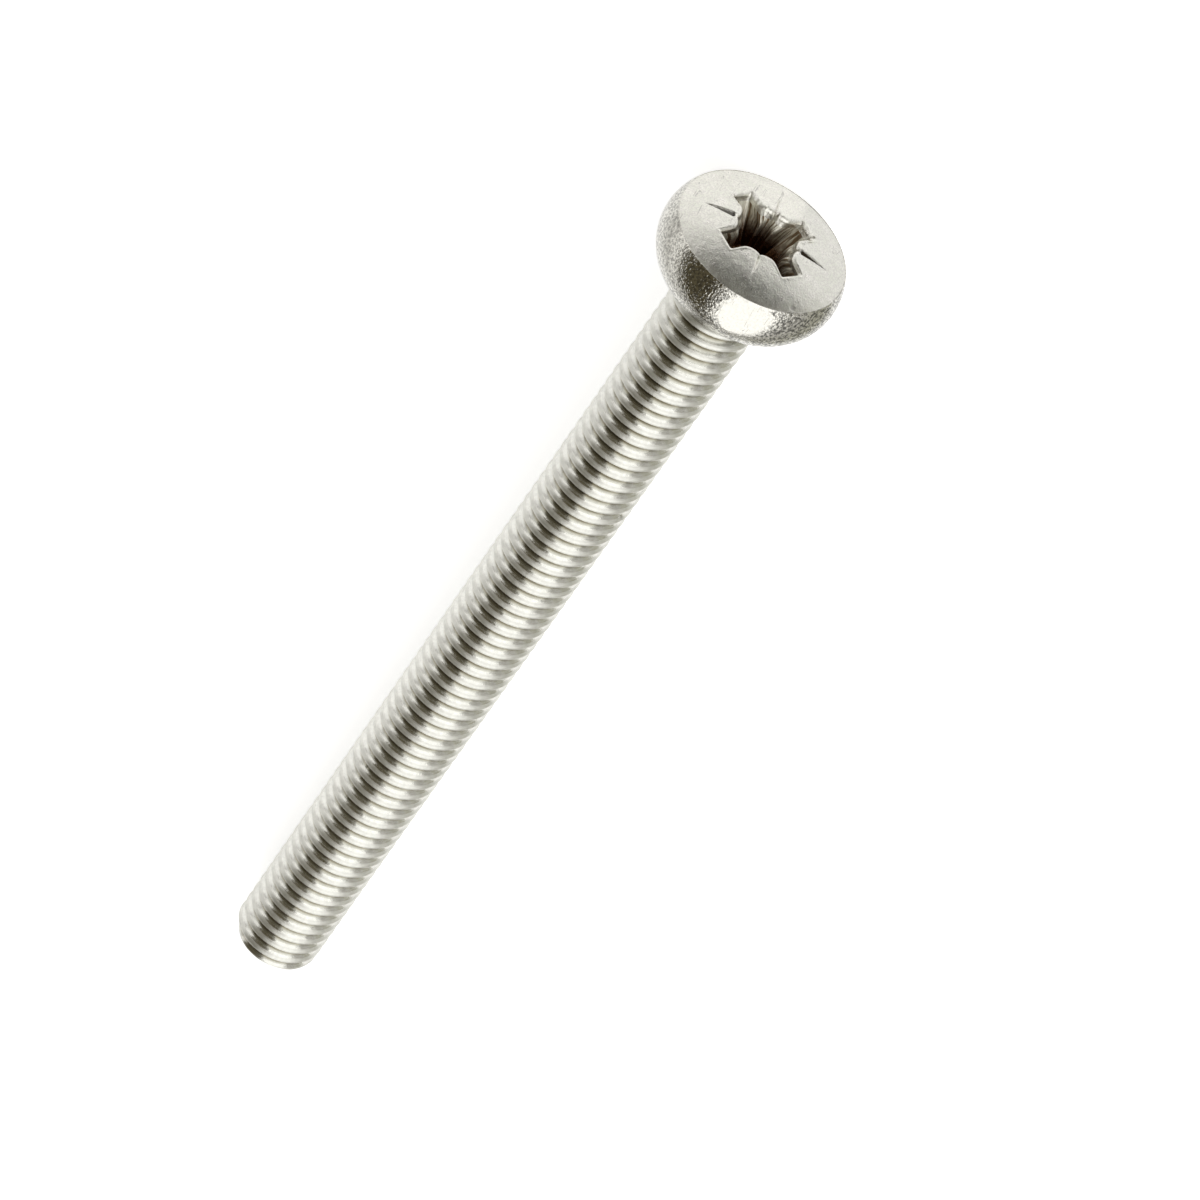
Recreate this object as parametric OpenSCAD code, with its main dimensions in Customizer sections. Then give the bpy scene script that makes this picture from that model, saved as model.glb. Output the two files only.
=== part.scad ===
// Machine screw, pan head with a type Z cross recess, fully threaded, lying on its side at rest.
// Each shape is first drawn upright: Z along the screw, z = 0 under the head, head up and tip down.

/* [Thread] */
// Outside diameter of the thread
thread_d = 3.95; // [3.5:0.05:4.5]
// Distance from one turn to the next
thread_pitch = 0.7; // [0.6:0.05:0.9]
// Depth of the thread from crest to root
thread_depth = 0.42; // [0.3:0.01:0.5]
// Width of the flat along the crest
crest_w = 0.2; // [0.1:0.01:0.3]
// Part of a turn over which the thread dies out at the neck
runout_turn = 0.6; // [0.3:0.1:1]

/* [Shank] */
// Length from under the head to the tip
shank_l = 45; // [12:1:50]
// Length of the plain neck under the head
neck_l = 0.9; // [0.7:0.1:2]
// Chamfer at the tip, the same along the axis and across it
tip_chamfer = 0.42; // [0.2:0.01:0.6]
// Radius of the fillet between neck and head
neck_fillet_r = 0.25; // [0.1:0.05:0.4]

/* [Head] */
// Widest diameter of the head
head_d = 8; // [7:0.1:9]
// Height of the head on its axis, before the recess is cut
head_h = 3.1; // [2.8:0.1:3.6]
// Radius of the rounded side, seen in section
side_r = 2.2; // [1.8:0.1:2.6]
// Height at which the side is widest
widest_h = 1.5; // [1:0.1:1.7]
// Radius of the shallow crown
crown_r = 13; // [8:0.5:30]

/* [Recess] */
// Diameter across the wings at the mouth
recess_d = 4.3; // [3.6:0.1:4.6]
// Depth of the wings below the mouth
recess_depth = 2.1; // [1.5:0.1:2.2]
// Width of each wing
wing_w = 0.95; // [0.7:0.05:1.1]
// Slope of the wings' ends, from the axis
wing_slope = 26.5; // [20:0.5:28]
// Width across the flats of the square core at the mouth
core_w = 1.9; // [1.5:0.05:2.1]
// Slope of the core's flats, from the axis
core_slope = 7; // [3:0.5:10]
// Distance from the axis to the flared mouth between two wings
flare_r = 1.3; // [1:0.05:1.5]
// Slope of the flare, from the axis
flare_slope = 35; // [20:1:50]
// Slope of the conical floor, from level
floor_slope = 20; // [5:1:22]
// Turn of the wings about the axis, from the side that lies down
recess_turn = 54; // [0:1:90]

/* [Tick marks] */
// Distance from the axis to a mark's inner end
tick_from = 1.55; // [1.4:0.05:1.8]
// Distance from the axis to a mark's outer end
tick_to = 2.85; // [2.2:0.05:3]
// Depth of a mark at its inner end
tick_depth = 0.17; // [0.05:0.01:0.2]

/* [Hidden] */

smooth = 96;
// Reach of a cutting shape past the metal, and of one joined solid into the next
cut_over = 0.5;
join_over = 0.1;

thread_r = thread_d/2;
root_r = thread_r - thread_depth;
// The thread is rolled on a blank whose diameter is halfway between crest and root
neck_r = thread_r - thread_depth/2;
tip_r = thread_r - tip_chamfer;

head_r = head_d/2;
side_x = head_r - side_r;

// Flat steps to a turn of the thread, each of which takes six triangles
turn_steps = 24;
// Height on the side that lies down where the first full crest meets the chamfer
touch_z = tip_chamfer - shank_l;
// The helix starts whole turns below that crest, past the tip, so that its groove runs out there
turns_below = ceil((tip_chamfer + crest_w/2 + thread_pitch/2)/thread_pitch);
helix_from = touch_z + crest_w/2 - thread_pitch/2 - turns_below*thread_pitch;
helix_steps = floor((join_over - neck_l - helix_from)/thread_pitch*turn_steps);
// The crest ends this high over the root, which is inside the neck
runout_end = 0.15;

// The screw lies on the rounded side of its head and on the crest at its tip
rest_span = norm([widest_h - touch_z, side_x - thread_r]);
rest_tilt = atan2(side_x - thread_r, widest_h - touch_z) + asin(side_r/rest_span);
rest_h = side_r + side_x*cos(rest_tilt) - widest_h*sin(rest_tilt);
// Distance along the floor from the middle of the screw's box to the bearing face's centre
rest_x = ((shank_l - head_h)*cos(rest_tilt) + tip_r*sin(rest_tilt))/2;

// Height of the crown at a distance from the axis
function crown_z(r) = head_h - crown_r + sqrt(crown_r*crown_r - r*r);

mouth_z = crown_z(recess_d/2);
floor_r = recess_d/2 - recess_depth*tan(wing_slope);
// Depth at which the flare has come in to the core's flats
flare_depth = (flare_r - core_w/2)/(tan(flare_slope) - tan(core_slope));

// A point at a step of the helix, r from the axis and z above the root line there
function helix_point(step, r, z) = let (turn = 360*step/turn_steps)
    [r*cos(turn), r*sin(turn), helix_from + thread_pitch*step/turn_steps + z];

// Radius of the crest at a step: full along the shank, and dying out at the last part of a turn
function crest_r(step) = let (left = (helix_steps - step)/(turn_steps*runout_turn))
    root_r + thread_depth*max(runout_end, min(1, left));

// One closed surface wound up the shank as a helical strip: root, lower and upper edge of the crest.
// A turn's upper flank ends on the next turn's root line, and both ends are capped by fans.
module threaded_shank() {
    low = (thread_pitch - crest_w)/2;
    strip = [for (i = [0:helix_steps]) each [
        helix_point(i, root_r, 0),
        helix_point(i, crest_r(i), low),
        helix_point(i, crest_r(i), low + crest_w)]];
    last_root = [for (i = [1:turn_steps]) helix_point(helix_steps + i, root_r, 0)];
    centres = [[0, 0, helix_from], [0, 0, helix_from + thread_pitch*(helix_steps/turn_steps + 1)]];
    top = helix_steps*3;
    first_last = len(strip);
    bottom_c = first_last + turn_steps;
    top_c = bottom_c + 1;
    // Index of the root point at a step, which may be in the turn above the last crest
    function root(i) = i <= helix_steps ? 3*i : first_last + i - helix_steps - 1;
    flanks = [for (i = [0:helix_steps - 1]) each [
        [3*i + 1, 3*i + 4, 3*i + 3, 3*i],
        [3*i + 2, 3*i + 5, 3*i + 4, 3*i + 1],
        [root(i + turn_steps), root(i + 1 + turn_steps), 3*i + 5, 3*i + 2]]];
    bottom = [for (i = [0:turn_steps - 1]) [root(i), root(i + 1), bottom_c]];
    cap = [for (i = [0:turn_steps - 1]) [root(helix_steps + i + 1), root(helix_steps + i), top_c]];
    steps = [
        [root(turn_steps), 2, 1, 0],
        [root(turn_steps), 0, bottom_c],
        [top, top + 1, top + 2, root(helix_steps + turn_steps)],
        [top, root(helix_steps + turn_steps), top_c]];
    polyhedron(points = concat(strip, last_root, centres),
        faces = concat(flanks, bottom, cap, steps), convexity = 10);
}

// What the chamfer takes off round the tip, with the flat end of the shank
module tip_cut() {
    past = thread_r + cut_over;
    rotate_extrude($fn = smooth)
        polygon([[0, -shank_l], [tip_r, -shank_l], [past, touch_z + cut_over],
            [past, helix_from - cut_over], [0, helix_from - cut_over]]);
}

// Plain neck that runs into the head through a fillet
module neck() {
    translate([0, 0, -neck_l])
        cylinder(r = neck_r, h = neck_l + join_over, $fn = smooth);
    rotate_extrude($fn = smooth)
        difference() {
            translate([neck_r - join_over, -neck_fillet_r])
                square([neck_fillet_r + join_over, neck_fillet_r + join_over]);
            translate([neck_r + neck_fillet_r, -neck_fillet_r])
                circle(r = neck_fillet_r);
        }
}

// Solid pan: a flat bearing face, a rounded side and a shallow crown, turned from true arcs
module head_blank() {
    rotate_extrude($fn = smooth)
        intersection() {
            union() {
                square([side_x, head_h]);
                translate([side_x, widest_h])
                    circle(r = side_r);
            }
            translate([0, head_h - crown_r])
                circle(r = crown_r);
            square([head_r, head_h]);
        }
}

// A bar across the axis whose ends lean in by the slope, so deep below the mouth and a little above it
module leaning_bar(w_mouth, slope, thick, deep) {
    low = w_mouth/2 - deep*tan(slope);
    high = w_mouth/2 + cut_over*tan(slope);
    rotate([90, 0, 0])
        linear_extrude(height = thick, center = true)
            polygon([[-low, -deep], [low, -deep], [high, cut_over], [-high, cut_over]]);
}

// Cross recess: two crossing wings, a square core and a flared mouth between them, and a conical floor
module recess_cut() {
    translate([0, 0, mouth_z]) {
        for (turn = [0, 90])
            rotate([0, 0, turn])
                leaning_bar(recess_d, wing_slope, wing_w, recess_depth);
        intersection_for (turn = [0, 90])
            rotate([0, 0, turn])
                leaning_bar(core_w, core_slope, recess_d, recess_depth);
        intersection_for (turn = [45, 135])
            rotate([0, 0, turn])
                leaning_bar(2*flare_r, flare_slope, recess_d, flare_depth);
        translate([0, 0, -recess_depth])
            intersection() {
                mirror([0, 0, 1])
                    cylinder(r1 = floor_r, r2 = 0, h = floor_r*tan(floor_slope), $fn = smooth);
                for (turn = [0, 90])
                    rotate([0, 0, turn])
                        cube([recess_d, wing_w, recess_depth], center = true);
            }
    }
}

// V-shaped mark that is deepest near the recess and runs out to nothing on the crown
module tick_cut() {
    from = [tick_from, crown_z(tick_from) - tick_depth];
    run = [tick_to, crown_z(tick_to)] - from;
    wide = tick_depth + cut_over;
    translate([from[0], 0, from[1]])
        rotate([0, -atan2(run[1], run[0]), 0])
            rotate([90, 0, 90])
                linear_extrude(height = norm(run) + join_over)
                    polygon([[0, 0], [wide, wide], [-wide, wide]]);
}

// The whole screw, upright
module upright_screw() {
    difference() {
        union() {
            threaded_shank();
            neck();
            head_blank();
        }
        tip_cut();
        rotate([0, 0, recess_turn]) {
            recess_cut();
            for (quarter = [0:3])
                rotate([0, 0, 45 + 90*quarter])
                    tick_cut();
        }
    }
}

// Screw laid down along X with its head towards +X, touching the floor at z = 0
module machine_screw() {
    color("silver")
        translate([rest_x, 0, rest_h])
            rotate([0, 90 - rest_tilt, 0])
                upright_screw();
}

machine_screw();
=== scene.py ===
"""Looks of a pan head machine screw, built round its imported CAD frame.

The screw is one piece: a helical thread, a neck, a turned head and a type Z cross recess, each
worked out with numpy as a surface of two parameters in the screw's own upright frame, then laid
down where the frame has it. The upright frame has Z along the screw, its zero under the head,
and the head up.
"""
import math

import bpy
import numpy as np
from bpy.props import FloatProperty, FloatVectorProperty, IntProperty, PointerProperty
from mathutils import Matrix, Vector


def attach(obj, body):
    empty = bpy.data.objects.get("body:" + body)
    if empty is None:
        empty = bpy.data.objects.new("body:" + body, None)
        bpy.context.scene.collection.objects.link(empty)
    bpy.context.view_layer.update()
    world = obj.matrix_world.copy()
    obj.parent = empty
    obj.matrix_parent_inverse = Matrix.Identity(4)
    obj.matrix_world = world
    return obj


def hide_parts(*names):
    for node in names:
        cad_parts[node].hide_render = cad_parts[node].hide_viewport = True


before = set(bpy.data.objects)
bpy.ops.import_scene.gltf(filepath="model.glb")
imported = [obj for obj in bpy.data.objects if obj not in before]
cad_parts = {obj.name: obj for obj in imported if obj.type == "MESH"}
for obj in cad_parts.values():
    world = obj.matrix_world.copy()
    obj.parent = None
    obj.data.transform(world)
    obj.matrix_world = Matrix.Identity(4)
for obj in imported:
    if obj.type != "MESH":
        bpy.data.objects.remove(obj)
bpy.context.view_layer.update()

bl_info = {
    "name": "Machine screw looks",
    "version": (1, 0, 0),
    "blender": (4, 5, 0),
    "location": "View3D > Sidebar > Screw",
    "description": "Builds a pan head machine screw with its thread, recess and steel finishes",
    "category": "Object",
}

MM = 0.001
NODE = "machine_screw"
BODY = "root"

# Heights of the points of the thread's section above its root line, as shares of the pitch
SECTION = (0.0, 0.02, 0.18, 0.34, 0.43, 0.5, 0.57, 0.66, 0.82, 0.98)
# How far the neck reaches into the head
NECK_JOIN = 0.1*MM
# Steps along an eighth of the recess's outline: its core, the wing's side and half of its end
OUTLINE_STEPS = (22, 18, 14)
# Power that joins the shapes of the recess: the higher it is, the sharper the corners
JOIN_POWER = 18
# Waves round the recess's ragged mouth: their number, where they start, and their height
WAVES = ((5, 0.3, 0.35), (11, 1.9, 0.3), (17, 4.1, 0.25), (29, 2.2, 0.25), (47, 5.0, 0.25),
         (71, 0.9, 0.2))
# Circles on the bearing face, and rings on the recess's floor, as shares of the outermost one
BEARING_RINGS = (0.0, 0.3, 0.6, 0.9, 0.985)
FLOOR_RINGS = (0.85, 0.7, 0.5, 0.3, 0.12, 0.0)
# Rows of the head's grid, in their order
SIDE_ROWS, EDGE_ROWS, RIM_ROWS, CROWN_ROWS, LIP_ROWS, WALL_ROWS = 26, 7, 6, 41, 7, 14
# Angle between two faces from which their shared edge looks sharp
SHARP_EDGE = math.radians(50)

# Soft panels: the middle, the direction that they face, and the size, in metres
PANELS = {
    "key panel": ((-0.2, -0.16, 0.325), (0, 1, -1), (3.0, 0.52)),
    "low fill panel": ((-0.9, 0.5, 0.125), (0, -1, 0), (4.0, 0.25)),
    "low side panel": ((-0.2, -0.4, 0.082), (0, 1, 0), (3.0, 0.164)),
}
# Corners of the glowing cards that only the metal sees on the floor, in millimetres, and their
# height: a painted shadow, a painted dark reflection and painted light
CARDS = {
    "painted shadow card": ((-60, -45), (45, -45), (45, -9), (-60, -9)),
    "painted darkness card": ((36, -20), (200, -80), (200, 60), (50, 13), (34, 3)),
    "painted light card": ((23.5, -8.8), (34, -8.8), (31, -3), (23.5, -0.5)),
}
CARD_Z = 0.05*MM
WHITE = (1.0, 1.0, 1.0)
BLACK = (0.0, 0.0, 0.0)
# Width of the camera's sensor in millimetres, and of the photo in pixels
SENSOR_W, PHOTO_PX = 36.0, 1200
CLIP = (0.01, 10.0)


def length(name, description, mm):
    """A property that holds a length, given in millimetres."""
    return FloatProperty(name=name, description=description, default=mm*MM, unit="LENGTH",
                         precision=5)


def slope(name, description, degrees):
    """A property that holds an angle, given in degrees."""
    return FloatProperty(name=name, description=description, default=math.radians(degrees),
                         subtype="ANGLE")


def colour(name, description, rgb):
    """A property that holds a colour."""
    return FloatVectorProperty(name=name, description=description, default=rgb,
                               subtype="COLOR", size=3, min=0.0, max=1.0)


def share(name, description, value):
    """A property that holds a number from 0 to 1."""
    return FloatProperty(name=name, description=description, default=value, min=0.0, max=1.0)


def shares(name, description, values):
    """A property that holds several numbers from 0 to 1."""
    return FloatVectorProperty(name=name, description=description, default=values,
                               size=len(values), min=0.0, max=1.0)


def amount(name, description, value):
    """A property that holds a number from 0 upwards."""
    return FloatProperty(name=name, description=description, default=value, min=0.0)


def count(name, description, value, least):
    """A property that holds a whole number."""
    return IntProperty(name=name, description=description, default=value, min=least)


class ThreadSizes(bpy.types.PropertyGroup):
    """Sizes of the thread and the shank."""

    outer_d: length("Outside diameter", "Across the thread's crests", 3.95)
    pitch: length("Pitch", "From one turn to the next", 0.7)
    depth: length("Depth", "From crest to root", 0.42)
    crest_w: length("Crest width", "Between the crest's rounded corners", 0.2)
    crest_round: length("Crest rounding", "Fall of the rolled crest to its corners", 0.035)
    shank_l: length("Shank length", "From under the head to the tip", 45.0)
    neck_l: length("Neck length", "Plain neck under the head", 0.9)
    chamfer: length("Tip chamfer", "Along the axis and across it", 0.42)
    fillet_r: length("Neck fillet", "Between the neck and the head", 0.25)
    runout: amount("Runout", "Part of a turn over which the thread dies out", 0.6)
    turn_steps: count("Steps to a turn", "Rows of the thread's grid in one turn", 72, 24)


class HeadSizes(bpy.types.PropertyGroup):
    """Sizes of the turned head."""

    outer_d: length("Head diameter", "At the widest place of the rounded side", 8.0)
    height: length("Head height", "On the axis, before the recess is cut", 3.1)
    side_r: length("Side radius", "Rounding of the side in section", 2.2)
    widest_h: length("Widest height", "Where the side is widest, above the bearing face", 1.5)
    crown_r: length("Radius of the crown", "Before it falls away to its rim", 13.0)
    rim_r: length("Rim rounding", "Half the width of the edge between side and crown", 0.03)
    fall: length("Edge fall", "How far the crown falls below its sphere at the rim", 0.05)
    fall_from: length("Fall start", "Distance from the axis at which the fall starts", 2.3)


class RecessSizes(bpy.types.PropertyGroup):
    """Sizes of the cross recess and its tick marks."""

    outer_d: length("Recess diameter", "Across the wings under the rounded mouth", 4.18)
    depth: length("Recess depth", "Of the wings below the mouth", 2.1)
    wing_w: length("Wing width", "Under the rounded mouth", 0.88)
    core_w: length("Core width", "Across the flats of the square core at the mouth", 1.9)
    wing_slope: slope("Wing slope", "Lean of the wings' ends from the axis", 26.5)
    wall_slope: slope("Wall slope", "Lean of the wings' side walls from the axis", 1.5)
    core_slope: slope("Core slope", "Lean of the core's flats from the axis", 7.0)
    floor_slope: slope("Floor slope", "Slope of the conical floor from level", 20.0)
    turn: slope("Turn", "Turn of the wings about the axis, from the side that lies down", 54.0)
    flare_r: length("Flare", "From the axis to the flared mouth between two wings", 1.26)
    flare_slope: slope("Flare slope", "Lean of the flare from the axis", 35.0)
    mouth_r: length("Mouth rounding", "Radius where the walls meet the crown", 0.14)
    lip_more: amount("Wider lip", "Share by which the rounding is wider on the lower side", 0.45)
    soften: count("Corner rounding", "Times that the outline's corners are rounded", 8, 1)
    burr: length("Burr", "Height of the metal raised round the mouth by the punch", 0.04)
    ragged: length("Ragged edge", "How far the mouth wanders from its true outline", 0.045)
    tick_from: length("Mark start", "Distance from the axis to a mark's inner end", 1.55)
    tick_to: length("Mark end", "Distance from the axis to a mark's outer end", 2.85)
    tick_depth: length("Mark depth", "At a mark's inner end", 0.17)
    tick_share: shares("Depth of the marks", "Share of it that each has", (1.0, 0.5, 1.0, 0.5))
    tick_dark: shares("Darkening in the marks", "Share of it that each has", (0.9, 0.0, 1.0, 0.12))


class SteelFinish(bpy.types.PropertyGroup):
    """Colours, roughness and grain of the bare stainless steel."""

    thread_colour: colour("Thread colour", "Bright rolled flanks", (0.80, 0.80, 0.755))
    # Painted shade: the colour that the thread's groove darkens to near its root
    groove_shade_colour: colour("Groove shade colour", "Painted shade down in the groove", (0.29, 0.26, 0.185))
    crown_colour: colour("Colour of the crown", "Satin steel", (0.965, 0.945, 0.895))
    crown_tint: colour("Tint of the crown", "Second tone, in patches", (0.84, 0.855, 0.77))
    side_colour: colour("Side colour", "Grainy steel of the head's side", (0.78, 0.77, 0.72))
    recess_colour: colour("Recess colour", "Walls near the mouth", (0.97, 0.96, 0.87))
    drag_colour: colour("Drag colour", "Film in lines down the walls", (0.27, 0.20, 0.13))
    # Painted shade: the colour that the recess darkens to at its floor
    bottom_shade_colour: colour("Bottom shade colour", "Painted shade at the bottom of the recess", (0.17, 0.095, 0.055))
    mark_dark_colour: colour("Mark darkening colour", "Darkening in the marks", (0.02, 0.015, 0.01))
    thread_rough: share("Flank roughness", "Roughness of the thread's flanks", 0.14)
    crest_rough: share("Crest roughness", "Roughness of the thread's rubbed crests", 0.42)
    crown_rough: share("Roughness of the crown", "Mean of its patches", 0.31)
    side_rough: share("Side roughness", "Roughness of the head's side", 0.10)
    recess_rough: share("Recess roughness", "Roughness of the recess at its bottom", 0.25)
    thread_grain: length("Thread grain", "Size of the ripples on the thread", 0.25)
    crown_grain: length("Grain of the crown", "Size of its satin texture", 0.07)
    side_grain: length("Side grain", "Size of the pits on the head's side", 0.11)
    shaded_pits_side: length("Shaded pits side", "Place across the screw where painted shade darkens the pits most", -1.5)
    lit_pits_side: length("Lit pits side", "Place across the screw where painted shade darkens the pits least", 2.5)
    rim_from: length("Rubbed rim start", "Height at which the grain starts to fade", 2.4)
    rim_to: length("Rubbed rim end", "Height from which the rim is rubbed smooth", 2.6)
    highlight_patch_turn: slope("Highlight patch", "Turn about the axis to its middle, from the top", 17.0)
    highlight_patch_r: length("Highlight patch size", "Radius of the smooth patch set where the highlight falls", 1.25)
    nick_apart: length("Nick spacing", "Mean distance between nicks in the thread", 2.0)


class StageSettings(bpy.types.PropertyGroup):
    """Floor, lamps and camera."""

    floor_colour: colour("Floor colour", "Plain pale floor", (0.74, 0.74, 0.74))
    floor_reach: length("Floor reach", "From the screw's middle to the floor's edges", 200.0)
    floor_lift: share("Floor lift", "Light added to the floor for the camera", 0.71)
    pool_glow: share("Pool of light", "Light added near the screw for the metal", 0.62)
    pool_reach: length("Pool reach", "Distance at which the pool of light has gone", 35.0)
    room_colour: colour("Room", "Dark room above the stage", (0.092, 0.078, 0.047))
    key_level: amount("Key panel", "Brightness of the large panel", 1.3)
    fill_level: amount("Fill panel", "Brightness of the low panel", 0.9)
    side_level: amount("Side panel", "Brightness of the low side panel", 0.36)
    # Painted shadow: the card beside the screw stands in for shadow on the floor in the metal's
    # reflections
    shadow_card_glow: colour("Painted shadow card", "Glow of the card beside the screw, a painted shadow for the metal", (0.42, 0.412, 0.344))
    # Painted dark reflection: the card darkens what the metal sees of the floor ahead of the head
    darkness_card_glow: colour("Painted darkness card", "Glow of the card ahead of the head, a painted dark reflection", (0.05, 0.049, 0.041))
    # Painted light: the card brightens what the metal sees of the floor under the head
    light_card_glow: colour("Painted light card", "Glow of the card under the head, painted light for the metal", (0.87, 0.865, 0.85))
    focal_px: amount("Focal length", "In pixels of the photo's width", 8159.0)
    distance: length("Camera distance", "From the camera to the aim point", 339.04)
    aim: FloatVectorProperty(name="Aim point", description="Point on the camera's axis",
                             default=(2.979*MM, -3.034*MM, 3.153*MM),
                             subtype="TRANSLATION", size=3)
    azimuth: slope("Camera azimuth", "Direction to the camera, from +X towards +Y", 1.13)
    elevation: slope("Camera elevation", "Above the floor", 51.384)
    roll: slope("Camera roll", "Turn of the picture's upright from the level one", 146.0)


class ScrewLooks(bpy.types.PropertyGroup):
    """All sizes, finishes and stage settings of the screw."""

    thread: PointerProperty(type=ThreadSizes)
    head: PointerProperty(type=HeadSizes)
    recess: PointerProperty(type=RecessSizes)
    steel: PointerProperty(type=SteelFinish)
    stage: PointerProperty(type=StageSettings)


def settings():
    """The property groups, as they hang on the scene."""
    return bpy.context.scene.screw_looks


def lying_matrix(thread, head):
    """Turns and lifts the upright screw to where it lies on the floor, as the frame has it.

    The screw touches the floor with the rounded side of its head and with the first full crest
    above the tip's chamfer. Its axis rises by the angle whose tangent line touches both circles,
    and the middle of its box is at x = 0.
    """
    side_x = head.outer_d/2 - head.side_r
    thread_r = thread.outer_d/2
    rise, run = side_x - thread_r, head.widest_h + thread.shank_l - thread.chamfer
    tilt = math.atan2(rise, run) + math.asin(head.side_r/math.hypot(rise, run))
    lift = head.side_r + side_x*math.cos(tilt) - head.widest_h*math.sin(tilt)
    tip_r = thread_r - thread.chamfer
    along = ((thread.shank_l - head.height)*math.cos(tilt) + tip_r*math.sin(tilt))/2
    return Matrix.Translation((along, 0, lift)) @ Matrix.Rotation(math.pi/2 - tilt, 4, "Y")


def thread_profile(thread):
    """One turn's section from root to root: heights above the root line, and radii.

    A flank rises along a straight line, the crest is a shallow cosine arch between two corners
    that are rounded by the same arch, and the other flank mirrors the first.
    """
    root_r = thread.outer_d/2 - thread.depth
    half_crest = thread.crest_w/2
    heights = np.array(SECTION)*thread.pitch
    off = np.abs(heights - thread.pitch/2)
    flank = np.clip((thread.pitch/2 - off)/(thread.pitch/2 - half_crest), 0, 1)
    arch = thread.crest_round*(1 - np.cos(np.clip(off/half_crest, 0, 1)*math.pi/2))
    lift = np.where(off <= half_crest, thread.depth - arch,
                    (thread.depth - thread.crest_round)*flank)
    return heights, root_r + lift


def threaded_shank(thread):
    """Vertices, faces and lay of the shank: the thread's section carried along a helix.

    Row i of the grid is the section at the angle i/steps of a turn, raised by the same part of a
    pitch, and its last point is the first point of the row one turn up, which closes the surface.
    Points below the tip's end move up onto it, points outside the chamfer's cone move in to it,
    and points over the neck move out to the neck's radius or its fillet. The lay of a point is its
    place in the section in pitches, its place along the helix in turns, and its depth below the
    crest as a share of the thread's.
    """
    steps, pitch = thread.turn_steps, thread.pitch
    thread_r, root_r = thread.outer_d/2, thread.outer_d/2 - thread.depth
    neck_r = thread_r - thread.depth/2
    touch_z = thread.chamfer - thread.shank_l
    below = math.ceil((thread.chamfer + thread.crest_w/2 + pitch/2)/pitch)
    start = touch_z + thread.crest_w/2 - pitch/2 - below*pitch
    full = math.floor((NECK_JOIN - thread.neck_l - start)/pitch*steps)
    rows = full + steps
    heights, radii = thread_profile(thread)
    step = np.arange(rows + steps + 1)[:, None]
    fade = np.clip((full - step)/(steps*thread.runout), 0, 1)
    r = root_r + (radii[None] - root_r)*fade
    z = start + pitch*step/steps + heights[None]
    r = np.where(z > -thread.neck_l, np.maximum(r, neck_r), r)
    up = np.clip(z + thread.fillet_r, 0, thread.fillet_r)
    fillet = neck_r + thread.fillet_r - np.sqrt(thread.fillet_r**2 - up**2)
    r = np.where(up > 0, np.maximum(r, fillet), r)
    set_in = np.where(z > -thread.shank_l, np.clip((thread_r - r)/thread.depth, 0, 1), 0)
    r = np.minimum(r, thread_r - thread.chamfer + np.clip(z + thread.shank_l, 0, None))
    z = np.maximum(z, -thread.shank_l)
    turn = 2*math.pi*step/steps + 0*r
    points = np.stack([r*np.cos(turn), r*np.sin(turn), z], axis=-1)
    lay = np.stack([r*0 + heights[None]/pitch, r*0 + step/steps, set_in], -1)

    columns = len(heights)
    grid = np.arange((rows + 1)*columns).reshape(rows + 1, columns)
    top_root = grid.size + np.arange(steps)
    roots = np.concatenate([grid[:, 0], top_root])
    section = np.column_stack([grid, roots[steps:steps + rows + 1]])
    quads = np.stack([section[:-1, :-1], section[1:, :-1], section[1:, 1:], section[:-1, 1:]], -1)
    ends = [[0, 0, -thread.shank_l], [0, 0, points[-1, 0, 2]]]
    verts = np.concatenate([points[:rows + 1].reshape(-1, 3), points[rows + 1:, 0], ends])
    lay = np.concatenate([lay[:rows + 1].reshape(-1, 3), lay[rows + 1:, 0],
                          [[0, 0, 0], [0, 0, 1]]])
    low, high = len(verts) - 2, len(verts) - 1
    first, last = roots[:steps + 1], roots[-steps - 1:]
    caps = [[low, b, a] for a, b in zip(first[:-1], first[1:])]
    caps += [[high, a, b] for a, b in zip(last[:-1], last[1:])]
    caps += [[low, *section[0]], [high, *section[-1][::-1]]]
    return verts, quads.reshape(-1, 4).tolist() + caps, lay


def rim_meeting(head):
    """Where the side's circle and the crown's meet: angle on the side's circle, radius, height.

    The meeting point of the two circles lies from the side's centre at the angle of the line
    between the centres, less the angle of the triangle of both radii and that distance.
    """
    side_x = head.outer_d/2 - head.side_r
    dx, dz = -side_x, head.height - head.crown_r - head.widest_h
    apart = math.hypot(dx, dz)
    corner = math.acos((head.side_r**2 + apart**2 - head.crown_r**2)/(2*head.side_r*apart))
    turn = math.atan2(dz, dx) + corner
    return turn, side_x + head.side_r*math.cos(turn), head.widest_h + head.side_r*math.sin(turn)


def crown_height(head, r):
    """Height of the crown at a distance r from the axis.

    It is a sphere that falls away as a parabola towards its rim.
    """
    sphere = head.height - head.crown_r + np.sqrt(head.crown_r**2 - r**2)
    rim_x = rim_meeting(head)[1]
    past = np.clip(r - head.fall_from, 0, None)/(rim_x - head.fall_from)
    return sphere - head.fall*past**2


def rounded(points, times):
    """Rounds a closed outline: each point moves to the weighted mean of its neighbours and it."""
    for _ in range(times):
        points = (np.roll(points, 1, -2) + 2*points + np.roll(points, -1, -2))/4
    return points


def moved_out(points, by):
    """Points moved straight away from the axis, each by its own distance."""
    return points*(1 + by[:, None]/np.linalg.norm(points, axis=1, keepdims=True))


def steps_to(end, number):
    """Even steps from 0 to the end, without 0 itself."""
    return np.linspace(0, end, number + 1)[1:]


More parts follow.
